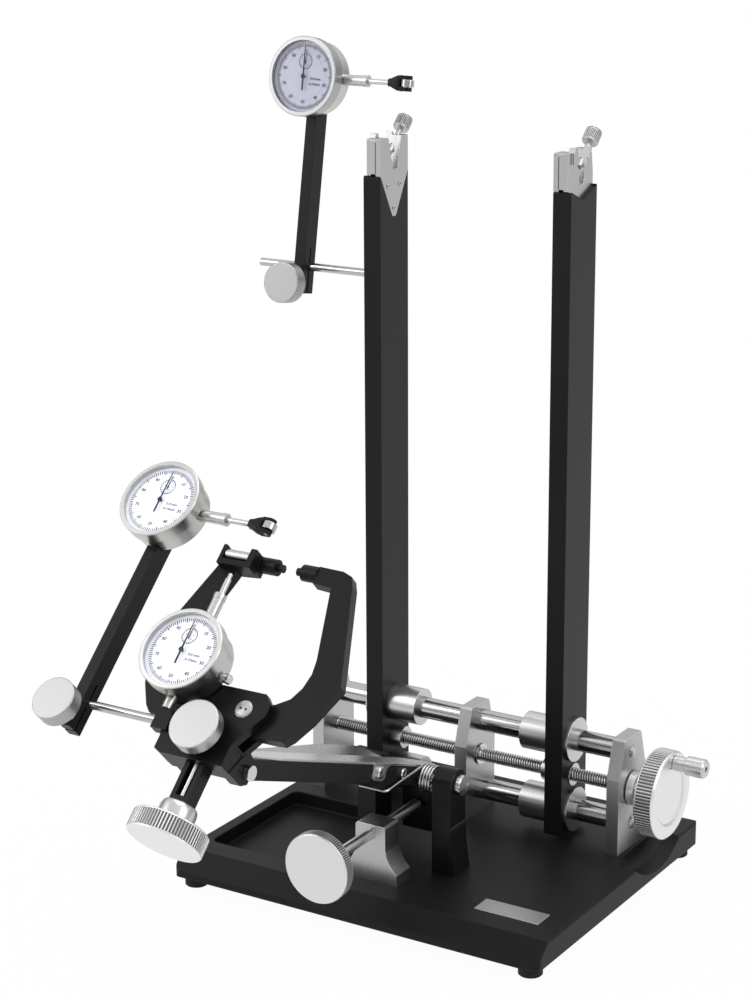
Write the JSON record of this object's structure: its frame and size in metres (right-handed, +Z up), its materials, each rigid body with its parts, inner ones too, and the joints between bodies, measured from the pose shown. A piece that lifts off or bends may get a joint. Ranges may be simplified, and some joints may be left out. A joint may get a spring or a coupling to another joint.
{
  "type": "bicycle wheel truing stand",
  "caption": "Bench stand that holds a wheel between two screw-driven uprights, with a sprung caliper arm and dial gauges that show side and hub offset",
  "frame": {"origin": "on the bench surface midway between the two uprights, below their middle depth", "axes": "+X to the right along the lead screw, +Y away from the user, +Z up"},
  "size_m": [0.3723, 0.4732, 0.5957],
  "materials": {
    "black_paint": "satin black",
    "grey_metal": "fine machined",
    "steel_rod": "ground and polished",
    "chrome": "polished",
    "rubber": "moulded",
    "grip_plastic": "smooth black",
    "spring_steel": "dark wire",
    "dial_face": "printed white",
    "hand_black": "matt black"
  },
  "bodies": {
    "base": {"base_plate": "black_paint", "rubber_feet": "rubber", "end_plate_left": "grey_metal", "end_plate_right": "grey_metal", "centre_plate": "grey_metal", "guide_rods": "steel_rod", "pivot_posts": "black_paint", "pivot_bolt": "steel_rod", "adjuster_block": "grey_metal", "torsion_spring": "spring_steel"},
    "screw": {"lead_screw": "steel_rod", "handwheel": "grey_metal"},
    "grip": {"crank_grip": "grip_plastic"},
    "carriage_left": {"upright_left": "black_paint", "carriage_bushes_left": "steel_rod", "axle_head_left": "grey_metal", "vee_plate_left": "grey_metal"},
    "carriage_right": {"upright_right": "black_paint", "carriage_bushes_right": "steel_rod", "axle_head_right": "grey_metal", "vee_plate_right": "grey_metal"},
    "thumb_left": {"thumb_screw_left": "chrome"},
    "thumb_right": {"thumb_screw_right": "chrome"},
    "arm": {"main_arm": "black_paint", "arm_cover": "grey_metal"},
    "adjuster_screw": {"adjuster_screw": "steel_rod"},
    "adjuster_knob": {"adjuster_knob": "grey_metal"},
    "head": {"caliper_hub": "black_paint", "arm_screws": "steel_rod", "clevis_bolt": "steel_rod", "centre_case": "chrome"},
    "slide": {"caliper_slide": "black_paint"},
    "caliper_wheel": {"caliper_wheel": "grey_metal"},
    "hub_knob": {"hub_knob": "grey_metal"},
    "arm_left": {"caliper_arm_left": "black_paint"},
    "arm_right": {"caliper_arm_right": "black_paint"},
    "feeler": {"feeler_roller": "steel_rod"},
    "upper_rod": {"upper_rod": "steel_rod"},
    "upper_gauge": {"upper_bar": "black_paint", "upper_case": "chrome"},
    "side_rod": {"side_rod": "steel_rod"},
    "side_gauge": {"side_bar": "black_paint", "side_case": "chrome"},
    "upper_bezel": {"upper_bezel": "dial_face"},
    "upper_plunger": {"upper_plunger": "chrome"},
    "upper_pointer": {"upper_pointer": "hand_black"},
    "upper_small_hand": {"upper_small_hand": "hand_black"},
    "upper_roller": {"upper_roller": "chrome"},
    "upper_knob": {"upper_knob": "chrome"},
    "side_bezel": {"side_bezel": "dial_face"},
    "side_plunger": {"side_plunger": "chrome"},
    "side_pointer": {"side_pointer": "hand_black"},
    "side_small_hand": {"side_small_hand": "hand_black"},
    "side_roller": {"side_roller": "chrome"},
    "side_knob": {"side_knob": "chrome"},
    "centre_bezel": {"centre_bezel": "dial_face"},
    "centre_plunger": {"centre_plunger": "chrome"},
    "centre_pointer": {"centre_pointer": "hand_black"},
    "centre_small_hand": {"centre_small_hand": "hand_black"}
  },
  "joints": [
    {"name": "carriage_left_slide", "type": "slide", "parent": "base", "child": "carriage_left", "axis": [1, 0, 0], "range_m": [-0.034, 0.038]},
    {"name": "carriage_right_slide", "type": "slide", "parent": "base", "child": "carriage_right", "axis": [1, 0, 0], "range_m": [-0.038, 0.034]},
    {"name": "lead_screw_turn", "type": "hinge", "parent": "base", "child": "screw", "pos_m": [0, 0, 0.072], "axis": [1, 0, 0], "range_deg": [-3070, 3430]},
    {"name": "crank_grip_turn", "type": "hinge", "parent": "screw", "child": "grip", "pos_m": [0.174, 0.00499, 0.09548], "axis": [1, 0, 0], "continuous": true},
    {"name": "thumb_screw_left_turn", "type": "hinge", "parent": "carriage_left", "child": "thumb_left", "pos_m": [-0.0764, 0.0012, 0.512], "axis": [0, 0.7009, 0.7133], "continuous": true},
    {"name": "thumb_screw_right_turn", "type": "hinge", "parent": "carriage_right", "child": "thumb_right", "pos_m": [0.0764, 0.0012, 0.512], "axis": [0, 0.7009, 0.7133], "continuous": true},
    {"name": "upper_rod_slide", "type": "slide", "parent": "carriage_left", "child": "upper_rod", "axis": [1, 0, 0], "range_m": [-0.008, 0]},
    {"name": "upper_bar_turn", "type": "hinge", "parent": "upper_rod", "child": "upper_gauge", "pos_m": [-0.1478, 0, 0.4276], "axis": [1, 0, 0], "range_deg": [-15, 15]},
    {"name": "side_rod_slide", "type": "slide", "parent": "head", "child": "side_rod", "axis": [1, 0, 0], "range_m": [-0.008, 0]},
    {"name": "side_bar_turn", "type": "hinge", "parent": "side_rod", "child": "side_gauge", "pos_m": [-0.0993, -0.33718, 0.20016], "axis": [1, 0, 0], "range_deg": [0, 20]},
    {"name": "upper_bezel_turn", "type": "hinge", "parent": "upper_gauge", "child": "upper_bezel", "pos_m": [-0.1478, 0.01462, 0.56464], "axis": [0, -0.9848, 0.1736], "continuous": true},
    {"name": "upper_plunger_slide", "type": "slide", "parent": "upper_gauge", "child": "upper_plunger", "axis": [-1, 0, 0], "range_m": [0, 0.01], "stiffness_N_per_m": 60, "springref_m": -0.01},
    {"name": "upper_pointer_turn", "type": "hinge", "parent": "upper_gauge", "child": "upper_pointer", "pos_m": [-0.1478, 0.01462, 0.56464], "axis": [0, -0.9848, 0.1736], "range_deg": [-3610, 10]},
    {"name": "upper_small_hand_turn", "type": "hinge", "parent": "upper_gauge", "child": "upper_small_hand", "pos_m": [-0.1478, 0.01653, 0.57548], "axis": [0, -0.9848, 0.1736], "range_deg": [-370, 10]},
    {"name": "upper_roller_turn", "type": "hinge", "parent": "upper_plunger", "child": "upper_roller", "pos_m": [-0.0668, 0.01462, 0.56464], "axis": [0, 0.1736, 0.9848], "continuous": true},
    {"name": "upper_knob_turn", "type": "hinge", "parent": "upper_gauge", "child": "upper_knob", "pos_m": [-0.1478, -0.00217, 0.41529], "axis": [0, -0.9848, 0.1736], "continuous": true},
    {"name": "side_bezel_turn", "type": "hinge", "parent": "side_gauge", "child": "side_bezel", "pos_m": [-0.0993, -0.23963, 0.30568], "axis": [0, -0.6884, 0.7254], "continuous": true},
    {"name": "side_plunger_slide", "type": "slide", "parent": "side_gauge", "child": "side_plunger", "axis": [-1, 0, 0], "range_m": [0, 0.01], "stiffness_N_per_m": 60, "springref_m": -0.01},
    {"name": "side_pointer_turn", "type": "hinge", "parent": "side_gauge", "child": "side_pointer", "pos_m": [-0.0993, -0.23963, 0.30568], "axis": [0, -0.6884, 0.7254], "range_deg": [-3610, 10]},
    {"name": "side_small_hand_turn", "type": "hinge", "parent": "side_gauge", "child": "side_small_hand", "pos_m": [-0.0993, -0.23165, 0.31326], "axis": [0, -0.6884, 0.7254], "range_deg": [-370, 10]},
    {"name": "side_roller_turn", "type": "hinge", "parent": "side_plunger", "child": "side_roller", "pos_m": [-0.0183, -0.23963, 0.30568], "axis": [0, 0.7254, 0.6884], "continuous": true},
    {"name": "side_knob_turn", "type": "hinge", "parent": "side_gauge", "child": "side_knob", "pos_m": [-0.0993, -0.34625, 0.19155], "axis": [0, -0.6884, 0.7254], "continuous": true},
    {"name": "centre_bezel_turn", "type": "hinge", "parent": "head", "child": "centre_bezel", "pos_m": [-0.0285, -0.31551, 0.23616], "axis": [0, -0.6884, 0.7254], "continuous": true},
    {"name": "centre_plunger_slide", "type": "slide", "parent": "head", "child": "centre_plunger", "axis": [0, -0.7254, -0.6884], "range_m": [0, 0.01], "stiffness_N_per_m": 60, "springref_m": -0.01},
    {"name": "centre_pointer_turn", "type": "hinge", "parent": "head", "child": "centre_pointer", "pos_m": [-0.0285, -0.31551, 0.23616], "axis": [0, -0.6884, 0.7254], "range_deg": [-3610, 10]},
    {"name": "centre_small_hand_turn", "type": "hinge", "parent": "head", "child": "centre_small_hand", "pos_m": [-0.0285, -0.30753, 0.24373], "axis": [0, -0.6884, 0.7254], "range_deg": [-370, 10]},
    {"name": "main_arm_hinge", "type": "hinge", "parent": "base", "child": "arm", "pos_m": [0, -0.101, 0.091], "axis": [1, 0, 0], "range_deg": [-10, 15], "deforming": ["torsion_spring"]},
    {"name": "adjuster_screw_slide", "type": "slide", "parent": "base", "child": "adjuster_screw", "axis": [0, 1, 0], "range_m": [-0.0052, 0.0078]},
    {"name": "adjuster_knob_turn", "type": "hinge", "parent": "adjuster_screw", "child": "adjuster_knob", "pos_m": [0, -0.2135, 0.061], "axis": [0, 1, 0], "range_deg": [-1240, 1860]},
    {"name": "head_tilt", "type": "hinge", "parent": "arm", "child": "head", "pos_m": [0, -0.32815, 0.17467], "axis": [1, 0, 0], "range_deg": [-20, 20]},
    {"name": "hub_knob_turn", "type": "hinge", "parent": "head", "child": "hub_knob", "pos_m": [0, -0.34496, 0.20298], "axis": [0, -0.6884, 0.7254], "continuous": true},
    {"name": "caliper_left_turn", "type": "hinge", "parent": "head", "child": "arm_left", "pos_m": [-0.019, -0.31816, 0.20772], "axis": [0, -0.6884, 0.7254], "range_deg": [-2.5, 13]},
    {"name": "caliper_right_turn", "type": "hinge", "parent": "head", "child": "arm_right", "pos_m": [0.019, -0.31816, 0.20772], "axis": [0, -0.6884, 0.7254], "range_deg": [-13, 2.5]},
    {"name": "caliper_slide_travel", "type": "slide", "parent": "head", "child": "slide", "axis": [0, 0.7254, 0.6884], "range_m": [-0.00036, 0.00182]},
    {"name": "caliper_wheel_turn", "type": "hinge", "parent": "slide", "child": "caliper_wheel", "pos_m": [0, -0.38183, 0.14799], "axis": [0, 0.7254, 0.6884], "range_deg": [-130, 660]},
    {"name": "feeler_roller_turn", "type": "hinge", "parent": "arm_left", "child": "feeler", "pos_m": [-0.036, -0.24892, 0.28584], "axis": [1, 0, 0], "continuous": true}
  ],
  "couplings": [
    {"joint": "carriage_right_slide", "follows": "carriage_left_slide", "ratio": -1},
    {"joint": "lead_screw_turn", "follows": "carriage_left_slide", "rad_per_m": 1570.8},
    {"joint": "upper_pointer_turn", "follows": "upper_plunger_slide", "rad_per_m": -6283.2},
    {"joint": "upper_small_hand_turn", "follows": "upper_plunger_slide", "rad_per_m": -628.32},
    {"joint": "side_pointer_turn", "follows": "side_plunger_slide", "rad_per_m": -6283.2},
    {"joint": "side_small_hand_turn", "follows": "side_plunger_slide", "rad_per_m": -628.32},
    {"joint": "centre_pointer_turn", "follows": "centre_plunger_slide", "rad_per_m": -6283.2},
    {"joint": "centre_small_hand_turn", "follows": "centre_plunger_slide", "rad_per_m": -628.32},
    {"joint": "adjuster_screw_slide", "follows": "main_arm_hinge", "m_per_rad": 0.0295},
    {"joint": "adjuster_knob_turn", "follows": "main_arm_hinge", "ratio": 123.57},
    {"joint": "caliper_right_turn", "follows": "caliper_left_turn", "ratio": -1},
    {"joint": "caliper_slide_travel", "follows": "caliper_left_turn", "m_per_rad": 0.008},
    {"joint": "caliper_wheel_turn", "follows": "caliper_left_turn", "ratio": 50.265}
  ]
}
